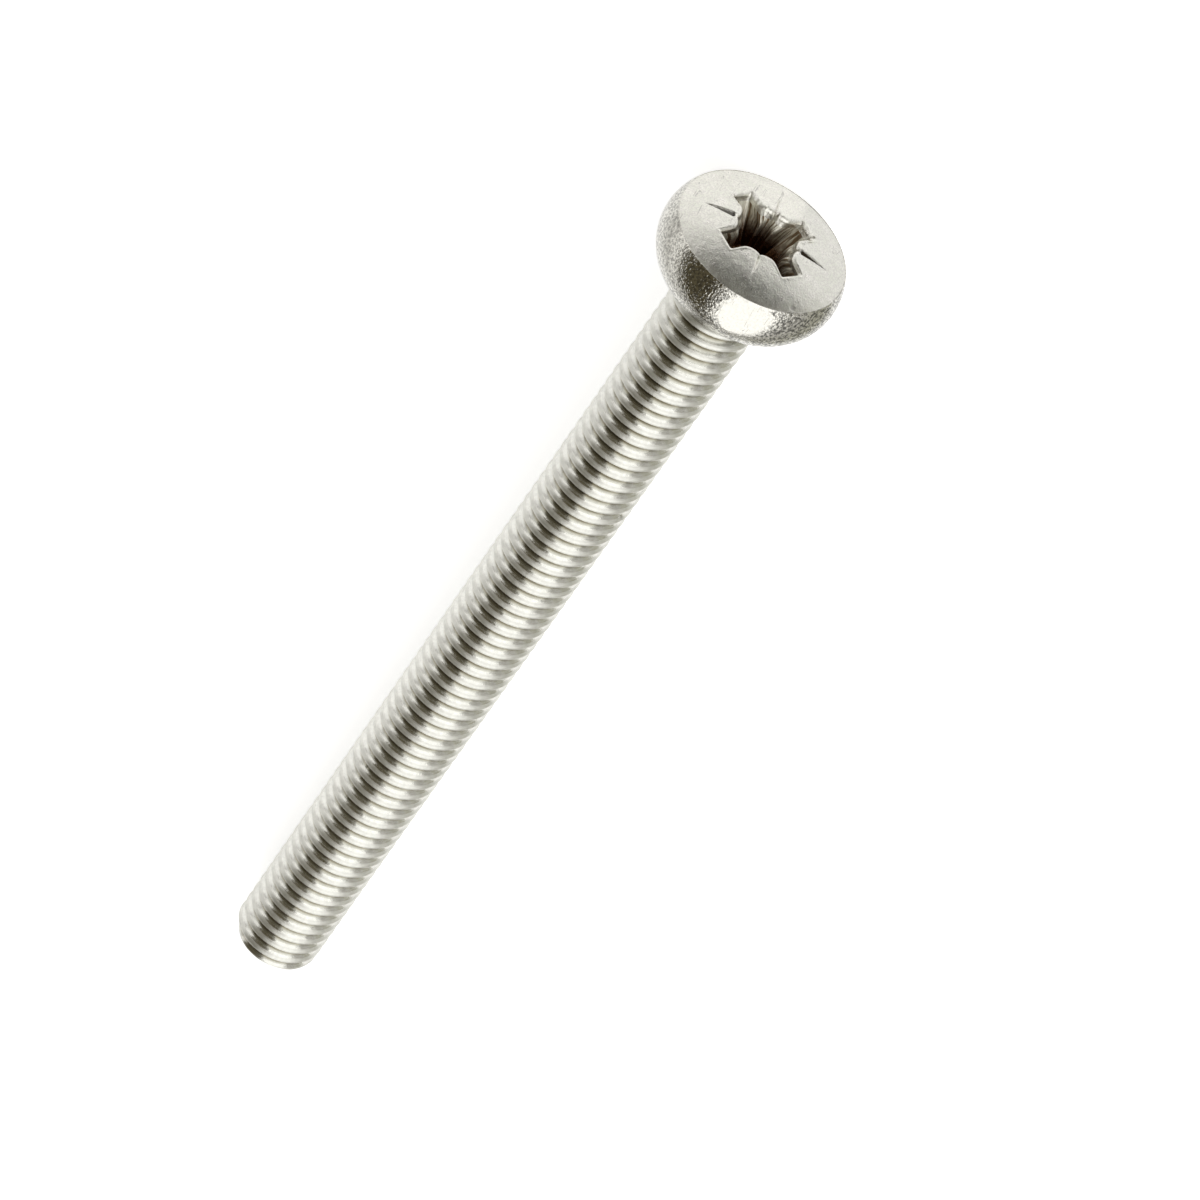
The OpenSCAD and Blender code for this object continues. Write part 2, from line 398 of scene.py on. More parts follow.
def recess_outline(recess, depth, grow=0.0):
    """Outline of the recess at a depth below its mouth, moved outwards by grow.

    It joins three shapes by their distance from the axis in each direction: a cross of wings, a
    square core, and a flared mouth that lies across between the wings. The join is the root of
    the sum of their powers, which rounds the corners where one shape takes over from the next. An
    eighth runs from the core's corner to where wing and flare meet, along the wing's side and
    over half of its end, and is mirrored and turned to make the whole.
    """
    core = recess.core_w/2 - depth*math.tan(recess.core_slope) + grow
    half = recess.wing_w/2 - depth*math.tan(recess.wall_slope) + grow
    end = recess.outer_d/2 - depth*math.tan(recess.wing_slope) + grow
    flare = recess.flare_r - depth*math.tan(recess.flare_slope) + grow
    meet = max(core, flare*math.sqrt(2) - half)
    corners = np.array([[core, -core], [meet, -half], [end, -half], [end, 0.0]])
    runs = [a + (b - a)*np.linspace(0, 1, n, endpoint=False)[:, None]
            for a, b, n in zip(corners[:-1], corners[1:], OUTLINE_STEPS)]
    eighth = np.concatenate([*runs, corners[3:]])
    turn = np.arctan2(-eighth[:, 1], eighth[:, 0])
    wing = np.minimum(end/np.cos(turn), half/np.maximum(np.sin(turn), 1e-6))
    square = core/np.cos(turn)
    across = np.maximum(flare, core)/np.cos(math.pi/4 - turn)
    reach = (wing**JOIN_POWER + square**JOIN_POWER + across**JOIN_POWER)**(1/JOIN_POWER)
    eighth = np.stack([np.cos(turn), -np.sin(turn)], -1)*reach[:, None]
    quarter = np.concatenate([eighth[:-1], eighth[:0:-1]*[1, -1]])
    turns = recess.turn + np.arange(4)*math.pi/2
    spin = np.stack([np.stack([np.cos(turns), -np.sin(turns)], -1),
                     np.stack([np.sin(turns), np.cos(turns)], -1)], 1)
    return np.einsum("kij,nj->kni", spin, quarter).reshape(-1, 2)


def ragged(along, whole, angle):
    """Smooth waves of mixed lengths round an outline, strongest on the side that lies down."""
    least, past_side = 0.15, 0.3
    strong = least + (1 - least)*np.clip(past_side + np.cos(angle), 0, 1)
    turn = 2*math.pi*along/whole
    return strong*sum(size*np.sin(number*turn + start) for number, start, size in WAVES)


def tick_depths(recess, x, y):
    """Depth of the four V-shaped marks at points of the crown.

    Across a mark the depth falls from its middle at 45 degrees, and along it the depth goes
    evenly from its full value at the inner end to nothing at the outer end.
    """
    end_ramp = 0.3*recess.tick_depth
    deep = np.zeros_like(x)
    for quarter in range(4):
        turn = recess.turn + math.pi/4 + quarter*math.pi/2
        along = x*math.cos(turn) + y*math.sin(turn)
        across = np.abs(y*math.cos(turn) - x*math.sin(turn))
        left = (recess.tick_to - along)/(recess.tick_to - recess.tick_from)
        middle = recess.tick_share[quarter]*recess.tick_depth*left
        start = np.clip((along - recess.tick_from)/end_ramp + 1, 0, 1)
        deep = np.maximum(deep, middle*start - across)
    return deep


def mark_darkening(recess, x, y):
    """How dark the marks are at points of the crown: each mark's own share, less where it ends."""
    full_from = 0.25*recess.tick_depth
    turn = np.arctan2(y, x) - recess.turn
    share_here = np.array(recess.tick_dark)[np.floor(turn/(math.pi/2)).astype(int) % 4]
    return np.clip(tick_depths(recess, x, y)/full_from, 0, 1)*share_here


def turned_rows(head, ray):
    """Circles from the bearing face's middle over the side and its edge to the crown.

    They have a point in the direction of each ray. The edge is a curve of the second degree whose
    middle control point is where side and crown would meet. Returns the rows, and how many of them
    lie before the crown.
    """
    side_x = head.outer_d/2 - head.side_r
    bearing_r = side_x + math.sqrt(head.side_r**2 - head.widest_h**2)
    bearing = [(bearing_r*part, 0.0) for part in BEARING_RINGS]
    rim_turn, rim_x, rim_z = rim_meeting(head)
    turns = np.linspace(-math.asin(head.widest_h/head.side_r), rim_turn, SIDE_ROWS)
    side = np.column_stack([side_x + head.side_r*np.cos(turns),
                            head.widest_h + head.side_r*np.sin(turns)])
    side = side[np.hypot(*(side - [rim_x, rim_z]).T) > head.rim_r]
    inner = np.linspace(rim_x - head.rim_r, rim_x - 4*head.rim_r, RIM_ROWS)
    crown = np.column_stack([inner, crown_height(head, inner)])
    t = np.linspace(0, 1, EDGE_ROWS + 2)[1:-1, None]
    edge = side[-1]*(1 - t)**2 + 2*t*(1 - t)*[rim_x, rim_z] + crown[0]*t**2
    section = np.concatenate([bearing, side, edge, crown])
    rows = [np.column_stack([ray*r, np.full(len(ray), z)]) for r, z in section]
    return rows, len(section) - len(crown)


def crown_rows(head, recess, rim, lip, wander):
    """Rows that pass evenly from the rim's circle to the lip, with the marks and the burr."""
    least, more, reach = 0.25, 1.3, 0.8*recess.mouth_r
    burr = recess.burr*np.clip(least + more*wander, 0, None)
    rows = []
    for t in steps_to(1, CROWN_ROWS):
        flat = rim + (lip - rim)*t
        r = np.linalg.norm(flat, axis=1)
        gap = np.linalg.norm(flat - lip, axis=1)
        z = crown_height(head, r) - tick_depths(recess, flat[:, 0], flat[:, 1])
        rows.append(np.column_stack([flat, z + burr*np.exp(-(gap/reach)**2)]))
    return rows


def recess_rows(head, recess, mouth, out, wide, wander, lip_z):
    """Rows over the rounded lip, down the walls, and over the conical floor.

    The lip is a quarter of an ellipse round the mouth, as wide as out and as deep as wide. The
    walls follow the outline down, and the floor shrinks it to a point.
    """
    rows = []
    for t in steps_to(math.pi/2, LIP_ROWS):
        flat = moved_out(mouth + out*(1 - math.sin(t)), wander*math.cos(t))
        rows.append(np.column_stack([flat, lip_z - wide*(1 - math.cos(t))]))
    top = rows[-1][:, 2]
    bottom = crown_height(head, recess.outer_d/2) - recess.depth
    for t in steps_to(1, WALL_ROWS):
        flat = rounded(recess_outline(recess, recess.depth*t), recess.soften)
        rows.append(np.column_stack([flat, top + (bottom - top)*t]))
    outline, floor_z = rows[-1][:, :2], rows[-1][:, 2]
    floor_r = recess.outer_d/2 - recess.depth*math.tan(recess.wing_slope)
    for part in FLOOR_RINGS:
        flat = outline*part
        inwards = np.clip(floor_r - np.linalg.norm(flat, axis=1), 0, None)
        rows.append(np.column_stack([flat, floor_z - inwards*math.tan(recess.floor_slope)]))
    return rows


def head_surface(head, recess):
    """Rows of points over the whole head, from the bearing face's middle to the recess's floor.

    The turned rows are circles whose angles are those of the recess's outline, so the crown's rows
    can pass evenly from the rim's circle to the mouth. Returns one array of rows, the finish of
    each band between two rows, and the lay of each point: its place round the outline, its height,
    and its depth in the recess as a share of that, weighted more near the axis, which sets the
    recess's painted shade, or on the crown how dark the marks are.
    """
    mouth = rounded(recess_outline(recess, 0), recess.soften)
    around = np.cumsum(np.linalg.norm(mouth - np.roll(mouth, 1, 0), axis=1))
    angle = np.arctan2(mouth[:, 1], mouth[:, 0])
    wander = ragged(around, around[-1], angle)
    wide = recess.mouth_r*(1 + recess.lip_more*np.clip(np.cos(angle), 0, 1))
    grown = rounded(recess_outline(recess, 0, recess.mouth_r), recess.soften)
    out = (grown - mouth)/recess.mouth_r*wide[:, None]
    lip = moved_out(mouth + out, wander*recess.ragged)

    rows, side_end = turned_rows(head, np.stack([np.cos(angle), np.sin(angle)], -1))
    rows += crown_rows(head, recess, rows[-1][:, :2], lip, wander)
    lip_end = len(rows) + LIP_ROWS
    mark_rows_end = len(rows) + 1
    rows += recess_rows(head, recess, mouth, out, wide, wander*recess.ragged, rows[-1][:, 2])
    finish = ["side"]*side_end + ["crown"]*(lip_end - side_end)
    finish += ["recess"]*(len(rows) - lip_end)

    rows = np.array(rows)
    x, y, z = np.moveaxis(rows, -1, 0)
    r = np.hypot(x, y)
    # The third part of the lay sets the recess's painted shade: it grows with depth and is
    # stronger near the axis
    middle_more, end_less = 1.3, 0.75
    near_axis = middle_more - end_less*(r/(recess.outer_d/2))
    inset = np.clip((crown_height(head, r) - z)/recess.depth, 0, 1)*near_axis
    inset[:mark_rows_end] = mark_darkening(recess, x[:mark_rows_end], y[:mark_rows_end])
    return rows, finish, np.stack([inset*0 + around/MM, z/MM, inset], -1)


def closed_head(head, recess):
    """Vertices, faces, finishes and lay of the head: rows joined round, with a fan at each end."""
    rows, finish, lay = head_surface(head, recess)
    number = rows.shape[1]
    inner = rows[1:-1]
    verts = np.concatenate([inner.reshape(-1, 3), rows[0][:1], rows[-1][:1]])
    lay = np.concatenate([lay[1:-1].reshape(-1, 3), lay[0][:1], lay[-1][:1]])
    index = np.arange(len(inner)*number).reshape(len(inner), number)
    following = np.roll(index, -1, 1)
    quads = np.stack([index[:-1], index[1:], following[1:], following[:-1]], -1)
    bands = [name for name in finish[1:-2] for _ in range(number)]
    start, end = len(verts) - 2, len(verts) - 1
    fans = [[start, a, b] for a, b in zip(index[0], following[0])]
    fans += [[end, b, a] for a, b in zip(index[-1], following[-1])]
    bands += ["side"]*number + ["recess"]*number
    return verts, quads.reshape(-1, 4).tolist() + fans, bands, lay


def feed(tree, value, socket):
    """Gives an input its value: another socket is joined to it, and anything else is set."""
    if isinstance(value, bpy.types.NodeSocket):
        tree.links.new(value, socket)
    else:
        socket.default_value = value


def new_group(name, inputs, outputs):
    """An empty node group: its tree, the values that come in, and the sockets that go out.

    An input without a value of its own is a vector.
    """
    group = bpy.data.node_groups.new(name, "ShaderNodeTree")
    for label, value in inputs.items():
        kind = "NodeSocketVector" if value is None else "NodeSocketFloat"
        socket = group.interface.new_socket(name=label, in_out="INPUT", socket_type=kind)
        if value is not None:
            socket.default_value = value
    for label in outputs:
        group.interface.new_socket(name=label, in_out="OUTPUT", socket_type="NodeSocketFloat")
    return (group, group.nodes.new("NodeGroupInput").outputs,
            group.nodes.new("NodeGroupOutput").inputs)


def use(tree, group, **values):
    """Places a node group in a material with its own values, and returns its outputs."""
    node = tree.nodes.new("ShaderNodeGroup")
    node.node_tree = group
    for label, value in values.items():
        feed(tree, value, node.inputs[label])
    return node.outputs


def place_in(tree):
    """The place of a point in its object's own coordinates."""
    return tree.nodes.new("ShaderNodeTexCoord").outputs["Object"]


def parts_of(tree, vector):
    """The three parts of a vector."""
    node = tree.nodes.new("ShaderNodeSeparateXYZ")
    feed(tree, vector, node.inputs[0])
    return node.outputs


def maths(tree, operation, a, b=0.0):
    """A maths node of one or two inputs, each a socket or a number."""
    node = tree.nodes.new("ShaderNodeMath")
    node.operation = operation
    feed(tree, a, node.inputs[0])
    feed(tree, b, node.inputs[1])
    return node.outputs[0]


def vector_maths(tree, operation, a, b):
    """The outputs of a vector maths node of two inputs."""
    node = tree.nodes.new("ShaderNodeVectorMath")
    node.operation = operation
    feed(tree, a, node.inputs[0])
    feed(tree, b, node.inputs[1])
    return node.outputs


def opposite(tree, mask):
    """One less a mask."""
    return maths(tree, "SUBTRACT", 1.0, mask)


def noise(tree, vector, scale, detail, rough=0.5):
    """A noise texture; scale is a number or a socket."""
    node = tree.nodes.new("ShaderNodeTexNoise")
    for label, value in (("Vector", vector), ("Scale", scale), ("Detail", detail),
                         ("Roughness", rough)):
        feed(tree, value, node.inputs[label])
    return node.outputs["Fac"]


def cells(tree, vector, scale):
    """The distance to the nearest of many scattered points; scale is a number or a socket."""
    node = tree.nodes.new("ShaderNodeTexVoronoi")
    feed(tree, vector, node.inputs["Vector"])
    feed(tree, scale, node.inputs["Scale"])
    return node.outputs["Distance"]


def ranged(tree, value, span, to=(0.0, 1.0), smooth=False):
    """A clamped map from one span of values to another."""
    node = tree.nodes.new("ShaderNodeMapRange")
    if smooth:
        node.interpolation_type = "SMOOTHSTEP"
    for label, number in zip(("From Min", "From Max", "To Min", "To Max"), (*span, *to)):
        feed(tree, number, node.inputs[label])
    feed(tree, value, node.inputs["Value"])
    return node.outputs["Result"]


def blend(tree, share_of_b, a, b):
    """A colour between a and b, each a colour or a socket."""
    node = tree.nodes.new("ShaderNodeMix")
    node.data_type = "RGBA"
    for value, label in ((a, "A"), (b, "B")):
        is_socket = isinstance(value, bpy.types.NodeSocket)
        feed(tree, value if is_socket else (*value, 1), node.inputs[label])
    feed(tree, share_of_b, node.inputs["Factor"])
    return node.outputs["Result"]


def dimmed(rgb, part):
    """A colour at part of its brightness."""
    return [c*part for c in rgb]


def grain_group():
    """Node group of grain: noise at one size as a height, with pits cut in by its Pits value."""
    group, given, out = new_group("metal grain", {"Size": 0.1*MM, "Pits": 0.5},
                                  ("Height", "Mask"))
    pit_span, mask_span = (0.15, 0.5), (0.42, 0.56)
    place = place_in(group)
    scale = maths(group, "DIVIDE", 1.0, given["Size"])
    fine = noise(group, place, scale, detail=3.0, rough=0.6)
    hollow = ranged(group, cells(group, place, scale), pit_span)
    cut = maths(group, "MULTIPLY", maths(group, "SUBTRACT", hollow, 1.0), given["Pits"])
    feed(group, maths(group, "ADD", fine, cut), out["Height"])
    feed(group, ranged(group, fine, mask_span), out["Mask"])
    return group


def hairline_group():
    """Node group of scratches: thin level lines of a broad noise, kept where another is high."""
    group, given, out = new_group("hairline scratches", {"Size": 1.0*MM, "Width": 0.01},
                                  ("Mask",))
    kept_scale, kept_span = 1.7, (0.55, 0.6)
    place = place_in(group)
    scale = maths(group, "DIVIDE", 1.0, given["Size"])
    stretch = group.nodes.new("ShaderNodeMapping")
    stretch.inputs["Scale"].default_value = (0.3, 3.0, 0.25)
    stretch.inputs["Rotation"].default_value = (0.7, 0.4, 0.3)
    feed(group, place, stretch.inputs["Vector"])
    level = noise(group, stretch.outputs["Vector"], scale, detail=1.0)
    off = maths(group, "ABSOLUTE", maths(group, "SUBTRACT", level, 0.5))
    line = maths(group, "LESS_THAN", off, given["Width"])
    patchy = noise(group, place, maths(group, "MULTIPLY", scale, kept_scale), detail=2.0)
    kept = ranged(group, patchy, kept_span)
    feed(group, maths(group, "MULTIPLY", line, kept), out["Mask"])
    return group


def lay_group():
    """Node group of drag lines: noise drawn out along the second direction of the lay."""
    group, given, out = new_group("drag lines", {"Lay": None, "Across": 10.0, "Along": 1.0},
                                  ("Height",))
    parts = parts_of(group, given["Lay"])
    join = group.nodes.new("ShaderNodeCombineXYZ")
    feed(group, maths(group, "MULTIPLY", parts[0], given["Across"]), join.inputs[0])
    feed(group, maths(group, "MULTIPLY", parts[1], given["Along"]), join.inputs[1])
    feed(group, noise(group, join.outputs[0], scale=1.0, detail=3.0, rough=0.6), out["Height"])
    return group


def new_material(name):
    """A new material, its tree and the inputs of its shader."""
    material = bpy.data.materials.new(name)
    material.use_nodes = True
    return material, material.node_tree, material.node_tree.nodes["Principled BSDF"].inputs


def bare_steel(name):
    """A new metal material, its tree and the inputs of its shader."""
    material, tree, shader = new_material(name)
    feed(tree, 1.0, shader["Metallic"])
    return material, tree, shader


def relief(tree, shader, *layers):
    """Bump layers, each a height and its distance, one over the other."""
    normal = None
    for height, distance in layers:
        node = tree.nodes.new("ShaderNodeBump")
        feed(tree, 1.0, node.inputs["Strength"])
        feed(tree, distance, node.inputs["Distance"])
        feed(tree, height, node.inputs["Height"])
        if normal is not None:
            feed(tree, normal, node.inputs["Normal"])
        normal = node.outputs["Normal"]
    feed(tree, normal, shader["Normal"])


def surface_lay(tree):
    """The surface's lay, its second part and its third."""
    lay = tree.nodes.new("ShaderNodeAttribute")
    lay.attribute_name = "lay"
    parts = parts_of(tree, lay.outputs["Vector"])
    return lay.outputs["Vector"], parts[1], parts[2]


def thread_steel(s, grain, drag):
    """Thread steel: painted shade in the groove, bright flanks, and rubbed crests."""
    material, tree, shader = bare_steel("rolled steel")
    shade_span, rubbed_span = (0.45, 0.9), (0.15, 0.45)
    line_span, nick_span = (0.35, 0.65), (0.09, 0.16)
    dull, line_more, jagged = 0.92, 0.1, 0.16
    ripple_h, line_h, nick_h = 0.005*MM, 0.004*MM, 0.05*MM
    lay, _, deep = surface_lay(tree)
    lines = use(tree, drag, Lay=lay, Across=26.0, Along=5.0)["Height"]
    ripple = use(tree, grain, Size=s.thread_grain, Pits=0.0)
    bright = blend(tree, ripple["Mask"], dimmed(s.thread_colour, dull), s.thread_colour)
    # Painted shade: the groove darkens towards its root
    shade_share = ranged(tree, deep, shade_span, smooth=True)
    feed(tree, blend(tree, shade_share, bright, s.groove_shade_colour), shader["Base Color"])
    flank = ranged(tree, lines, line_span, (s.thread_rough, s.thread_rough + line_more))
    crest = ranged(tree, deep, rubbed_span, (s.crest_rough, 0.0))
    feed(tree, maths(tree, "MAXIMUM", flank, crest), shader["Roughness"])
    nicks = cells(tree, place_in(tree), 1/s.nick_apart)
    uneven = maths(tree, "ADD", nicks, maths(tree, "MULTIPLY", lines, jagged))
    dent = ranged(tree, uneven, nick_span, smooth=True)
    relief(tree, shader, (ripple["Height"], ripple_h), (lines, line_h), (dent, nick_h))
    return material


def crown_steel(s, grain, hairlines):
    """Satin steel of the crown: a fine grain, broad cloudy patches and a few scratches."""
    material, tree, shader = bare_steel("satin steel")
    cloud_size, scratch_size = 6*s.crown_grain, 1.0*MM
    cloud_span, rough_span = (0.3, 0.7), (s.crown_rough + 0.05, s.crown_rough - 0.04)
    speck, scratch_dark = 0.8, 0.62
    cloud_h, fine_h, scratch_h = 0.02*MM, 0.011*MM, 0.008*MM
    fine = use(tree, grain, Size=s.crown_grain, Pits=0.0)
    cloud = use(tree, grain, Size=cloud_size, Pits=0.0)["Height"]
    scratch = use(tree, hairlines, Size=scratch_size, Width=0.009)["Mask"]
    _, _, mark_dark = surface_lay(tree)
    patches = ranged(tree, cloud, cloud_span)
    tone = blend(tree, patches, s.crown_tint, s.crown_colour)
    speckled = blend(tree, fine["Mask"], dimmed(s.crown_colour, speck), tone)
    scratched = blend(tree, scratch, speckled, dimmed(s.crown_colour, scratch_dark))
    # Each mark is darkened towards near black by its own share
    feed(tree, blend(tree, mark_dark, scratched, s.mark_dark_colour), shader["Base Color"])
    feed(tree, ranged(tree, patches, (0.0, 1.0), rough_span), shader["Roughness"])
    relief(tree, shader, (cloud, cloud_h), (fine["Height"], fine_h),
           (opposite(tree, scratch), scratch_h))
    return material


def side_steel(s, grain, hairlines, highlight_patch_at):
    """Grainy steel of the head's side, with a smooth patch where the key panel's highlight falls.

    The grain fades in that patch, whose edge wanders, and below the rim; the patch's lack of dark
    pits is a painted highlight in part. The pits are darker on one side of the screw than on the
    other, which is painted shade.
    """
    material, tree, shader = bare_steel("grainy steel")
    fine_size, broad_size, scratch_size = 0.4*s.side_grain, 6*s.side_grain, 0.9*MM
    wander, patch_span = 0.9*s.highlight_patch_r, (1.15*s.highlight_patch_r, 1.5*s.highlight_patch_r)
    patch_grain, rim_grain, lit_side_share = 0.1, 0.3, 0.6
    pit_dark, pit_more = 0.22, 0.12
    grain_h, fine_h, scratch_h = 0.014*MM, 0.002*MM, 0.005*MM
    coarse = use(tree, grain, Size=s.side_grain, Pits=0.5)
    fine = use(tree, grain, Size=fine_size, Pits=0.0)["Height"]
    broad = use(tree, grain, Size=broad_size, Pits=0.0)["Height"]
    scratch = use(tree, hairlines, Size=scratch_size, Width=0.008)["Mask"]
    place = place_in(tree)
    # Painted highlight in part: the patch without dark pits is set where the key panel's highlight
    # falls
    away = vector_maths(tree, "DISTANCE", place, highlight_patch_at)["Value"]
    edge = maths(tree, "ADD", away, maths(tree, "MULTIPLY", broad, wander))
    past_patch = ranged(tree, edge, patch_span, (patch_grain, 1.0), smooth=True)
    _, height_mm, _ = surface_lay(tree)
    below_rim = ranged(tree, height_mm, (s.rim_from/MM, s.rim_to/MM), (1.0, rim_grain),
                       smooth=True)
    kept = maths(tree, "MULTIPLY", below_rim, past_patch)
    # Painted shade: the pits darken more on one side of the screw than on the other
    side_shade = ranged(tree, parts_of(tree, place)[1], (s.shaded_pits_side, s.lit_pits_side),
                   (1.0, lit_side_share))
    pits = maths(tree, "MULTIPLY", opposite(tree, coarse["Mask"]), kept)
    dark = maths(tree, "MULTIPLY", pits, side_shade)
    feed(tree, blend(tree, dark, s.side_colour, dimmed(s.side_colour, pit_dark)),
         shader["Base Color"])
    feed(tree, ranged(tree, dark, (0.0, 1.0), (s.side_rough, s.side_rough + pit_more)),
         shader["Roughness"])
    relief(tree, shader, (maths(tree, "MULTIPLY", coarse["Height"], kept), grain_h),
           (fine, fine_h), (opposite(tree, scratch), scratch_h))
    return material


def recess_steel(s, grain, drag):
    """Recess steel: lines dragged down the walls by the punch, and painted shade towards the
    floor.
    """
    material, tree, shader = bare_steel("shaded recess steel")
    blotch_size, blotch_share = 0.3*MM, 0.5
    line_span, shade_span, mouth_span = (0.42, 0.54), (0.4, 0.95), (0.1, 0.6)
    mouth_more = 0.35
    line_h, blotch_h = 0.06*MM, 0.01*MM
    lay, _, deep = surface_lay(tree)
    lines = use(tree, drag, Lay=lay, Across=6.0, Along=0.5)["Height"]
    blotch = use(tree, grain, Size=blotch_size, Pits=0.0)["Height"]
    wall = blend(tree, ranged(tree, lines, line_span), s.drag_colour, s.recess_colour)
    # Painted shade: the walls darken towards the floor, and noise blotches the edge of the shade
    blotched_depth = maths(tree, "ADD", deep, maths(tree, "MULTIPLY", blotch, blotch_share))
    shade_share = ranged(tree, blotched_depth, shade_span, smooth=True)
    feed(tree, blend(tree, shade_share, wall, s.bottom_shade_colour), shader["Base Color"])
    feed(tree, ranged(tree, deep, mouth_span, (s.recess_rough + mouth_more, s.recess_rough)),
         shader["Roughness"])
    relief(tree, shader, (lines, line_h), (blotch, blotch_h))
    return material


def steel_finishes(looks):
    """The four finishes of the steel, by the name that the surface bands use."""
    s, head = looks.steel, looks.head
    grain, hairlines, drag = grain_group(), hairline_group(), lay_group()
    # Middle of the smooth patch, on the head's side where the key panel's highlight falls
    across, up = -head.outer_d/2, 1.1*head.widest_h
    rubbed = Vector((across*math.cos(s.highlight_patch_turn), across*math.sin(s.highlight_patch_turn), up))
    return {
        "thread": thread_steel(s, grain, drag),
        "crown": crown_steel(s, grain, hairlines),
        "side": side_steel(s, grain, hairlines, lying_matrix(looks.thread, head) @ rubbed),
        "recess": recess_steel(s, grain, drag),
    }


def make_object(name, verts, faces):
    """A mesh object from arrays, shaded smooth, at the origin."""
    mesh = bpy.data.meshes.new(name)
    mesh.from_pydata(verts.tolist(), [], faces)
    mesh.shade_smooth()
    obj = bpy.data.objects.new(name, mesh)
    bpy.context.scene.collection.objects.link(obj)
    return obj


class SCREW_OT_make_screw(bpy.types.Operator):
    """Build the screw's surface with its finishes and put it in the place of the CAD solid"""

    bl_idname = "screw.make_screw"
    bl_label = "Make the screw"

    def execute(self, context):
        looks = settings()
        shank_verts, shank_faces, shank_lay = threaded_shank(looks.thread)
        head_verts, head_faces, bands, head_lay = closed_head(looks.head, looks.recess)
        shift = len(shank_verts)
        faces = shank_faces + [[i + shift for i in face] for face in head_faces]
        placed = np.array(lying_matrix(looks.thread, looks.head))
        verts = np.concatenate([shank_verts, head_verts]) @ placed[:3, :3].T + placed[:3, 3]
        screw = make_object("screw", verts, faces)
        finishes = steel_finishes(looks)
        names = list(finishes)
        for name in names:
            screw.data.materials.append(finishes[name])
        slots = [names.index(name) for name in ["thread"]*len(shank_faces) + bands]
        screw.data.polygons.foreach_set("material_index", slots)
        screw.data.set_sharp_from_angle(angle=SHARP_EDGE)
        screw.data.update()
        lay = screw.data.attributes.new("lay", "FLOAT_VECTOR", "POINT")
        lay.data.foreach_set("vector", np.concatenate([shank_lay, head_lay]).ravel())
        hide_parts(NODE)
        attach(screw, BODY)
        return {"FINISHED"}


def panel(name, level):
    """A rectangular lamp from the table of panels; level is its brightness, where 1 is white."""
    location, facing, size = PANELS[name]
    data = bpy.data.lights.new(name, "AREA")
    data.shape = "RECTANGLE"
    data.size, data.size_y = size
    data.energy = level*math.pi*size[0]*size[1]
    obj = bpy.data.objects.new(name, data)
    obj.location = location
    obj.rotation_euler = Vector(facing).to_track_quat("-Z", "Y").to_euler()
    obj.visible_camera = False
    bpy.context.scene.collection.objects.link(obj)


def floor_material(stage):
    """Pale matte floor, lifted to white for the camera.

    The metal sees a pool of light on it round the screw, twice as long as it is wide.
    """
    material, tree, shader = new_material("pale floor")
    oval, middle = (0.5, 1.0, 0.0), (0.0, 0.0, 0.0)
    pool_from = 0.15*stage.pool_reach
    feed(tree, (*stage.floor_colour, 1), shader["Base Color"])
    feed(tree, 1.0, shader["Roughness"])
    feed(tree, 0.0, shader["Specular IOR Level"])
    rays = tree.nodes.new("ShaderNodeLightPath").outputs
    flat = vector_maths(tree, "MULTIPLY", place_in(tree), oval)["Vector"]
    away = vector_maths(tree, "DISTANCE", flat, middle)["Value"]
    pool = ranged(tree, away, (pool_from, stage.pool_reach), (stage.pool_glow, 0.0), smooth=True)
    for_metal = maths(tree, "MULTIPLY", rays["Is Glossy Ray"], pool)
    for_camera = maths(tree, "MULTIPLY", rays["Is Camera Ray"], stage.floor_lift)
    feed(tree, (*WHITE, 1), shader["Emission Color"])
    feed(tree, maths(tree, "ADD", for_camera, for_metal), shader["Emission Strength"])
    return material


def card_material(name, glow):
    """A plain card with its own even glow, a painted reflection for the metal."""
    material, tree, shader = new_material(name)
    feed(tree, (*BLACK, 1), shader["Base Color"])
    feed(tree, 0.0, shader["Specular IOR Level"])
    feed(tree, (*glow, 1), shader["Emission Color"])
    feed(tree, 1.0, shader["Emission Strength"])
    return material


def room_world(stage):
    """A dark room, white to the camera."""
    world = bpy.data.worlds.new("room")
    world.use_nodes = True
    tree = world.node_tree
    seen = tree.nodes.new("ShaderNodeLightPath").outputs["Is Camera Ray"]
    level = blend(tree, seen, stage.room_colour, WHITE)
    feed(tree, level, tree.nodes["Background"].inputs["Color"])
    return world


def place_camera(stage):
    """The photo's camera, which looks at the aim point and is rolled about its own axis."""
    data = bpy.data.cameras.new("photo camera")
    data.sensor_width = SENSOR_W
    data.lens = SENSOR_W*stage.focal_px/PHOTO_PX
    data.clip_start, data.clip_end = CLIP
    camera = bpy.data.objects.new("photo camera", data)
    flat = math.cos(stage.elevation)
    back = Vector((flat*math.cos(stage.azimuth), flat*math.sin(stage.azimuth),
                   math.sin(stage.elevation)))
    camera.location = Vector(stage.aim) + back*stage.distance
    level = (-back).to_track_quat("-Z", "Y").to_matrix()
    camera.rotation_euler = (level @ Matrix.Rotation(-stage.roll, 3, "Z")).to_euler()
    bpy.context.scene.collection.objects.link(camera)
    bpy.context.scene.camera = camera


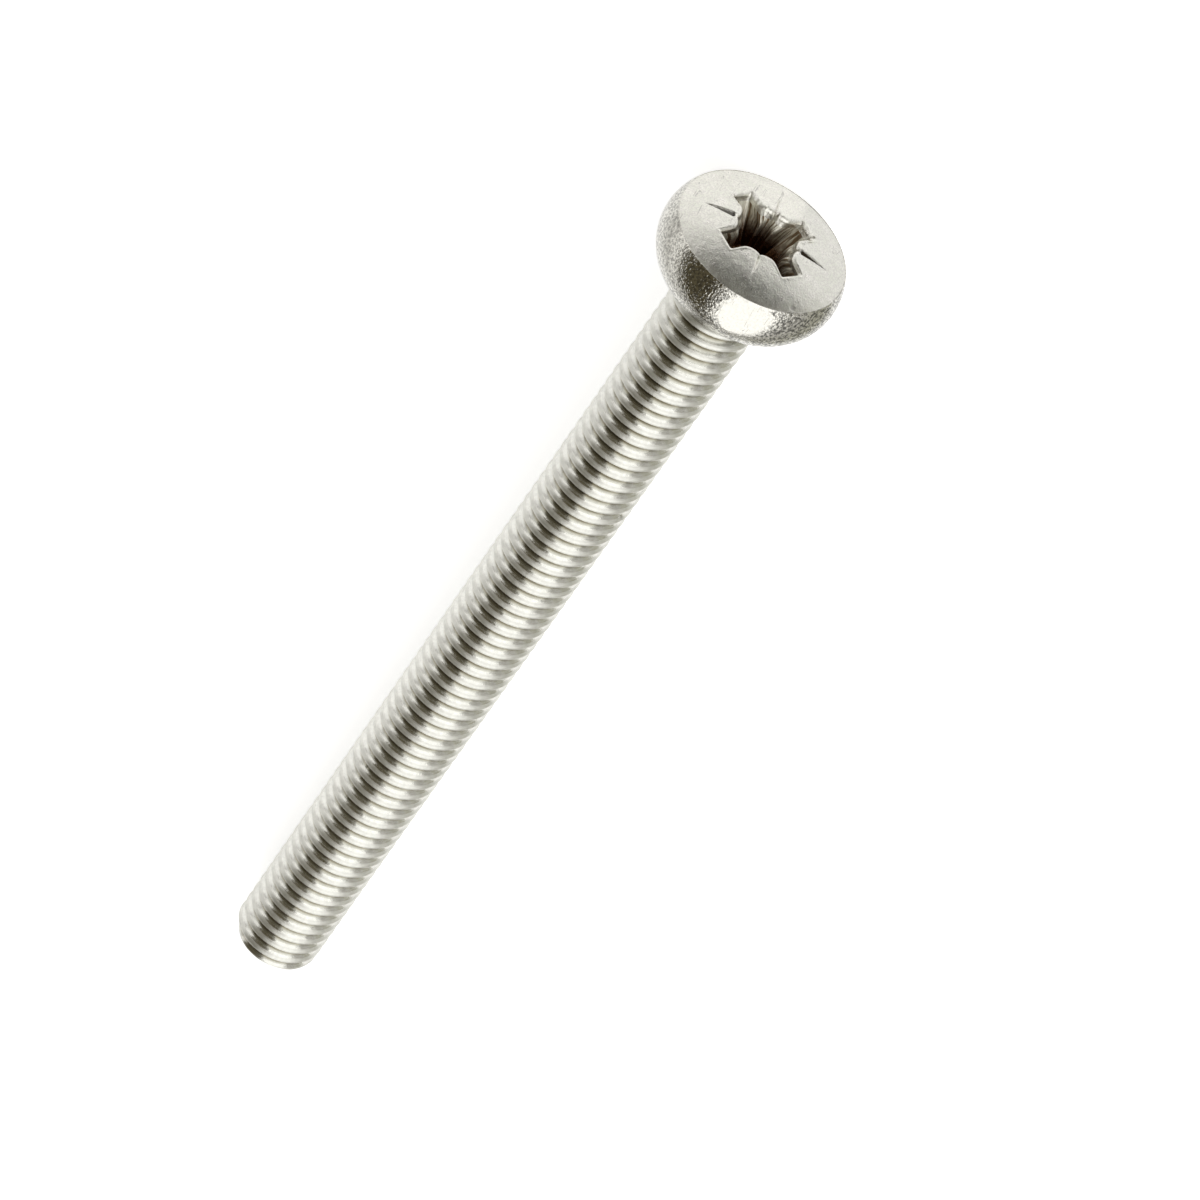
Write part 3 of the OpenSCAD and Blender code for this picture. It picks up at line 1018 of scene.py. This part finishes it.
def plate(name, corners, z, material):
    """A flat piece of the stage with the given corners, at the height z."""
    verts = np.array([[x, y, z] for x, y in corners])
    obj = make_object(name, verts, [list(range(len(corners)))])
    obj.data.materials.append(material)
    return obj


class SCREW_OT_set_stage(bpy.types.Operator):
    """Set the pale floor, the soft panels, the room and the photo's camera"""

    bl_idname = "screw.set_stage"
    bl_label = "Set the stage"

    def execute(self, context):
        stage = settings().stage
        far = stage.floor_reach
        corners = [(-far, -far), (far, -far), (far, far), (-far, far)]
        plate("floor", corners, 0.0, floor_material(stage))
        glows = stage.shadow_card_glow, stage.darkness_card_glow, stage.light_card_glow
        # The cards are painted reflections: shadow beside the screw, darkness ahead of the head
        # and light under it, hidden from all but the metal
        for (name, corners), glow in zip(CARDS.items(), glows):
            card = plate(name, np.array(corners)*MM, CARD_Z, card_material(name, glow))
            for ray in ("camera", "diffuse", "shadow", "transmission", "volume_scatter"):
                setattr(card, "visible_" + ray, False)
        context.scene.world = room_world(stage)
        for name, level in zip(PANELS, (stage.key_level, stage.fill_level, stage.side_level)):
            panel(name, level)
        place_camera(stage)
        context.scene.view_settings.view_transform = "Standard"
        return {"FINISHED"}


class SCREW_PT_panel(bpy.types.Panel):
    """Buttons for the screw and its stage"""

    bl_idname = "SCREW_PT_panel"
    bl_label = "Machine screw"
    bl_space_type = "VIEW_3D"
    bl_region_type = "UI"
    bl_category = "Screw"

    def draw(self, context):
        self.layout.operator(SCREW_OT_make_screw.bl_idname)
        self.layout.operator(SCREW_OT_set_stage.bl_idname)


CLASSES = (ThreadSizes, HeadSizes, RecessSizes, SteelFinish, StageSettings, ScrewLooks,
           SCREW_OT_make_screw, SCREW_OT_set_stage, SCREW_PT_panel)


def register():
    """Registers the classes and hangs the settings on the scene."""
    for cls in CLASSES:
        bpy.utils.register_class(cls)
    bpy.types.Scene.screw_looks = PointerProperty(type=ScrewLooks)


def unregister():
    """Takes the settings and the classes away again."""
    del bpy.types.Scene.screw_looks
    for cls in reversed(CLASSES):
        bpy.utils.unregister_class(cls)


def main():
    register()
    bpy.ops.screw.make_screw()
    bpy.ops.screw.set_stage()


if __name__ == "__main__":
    main()
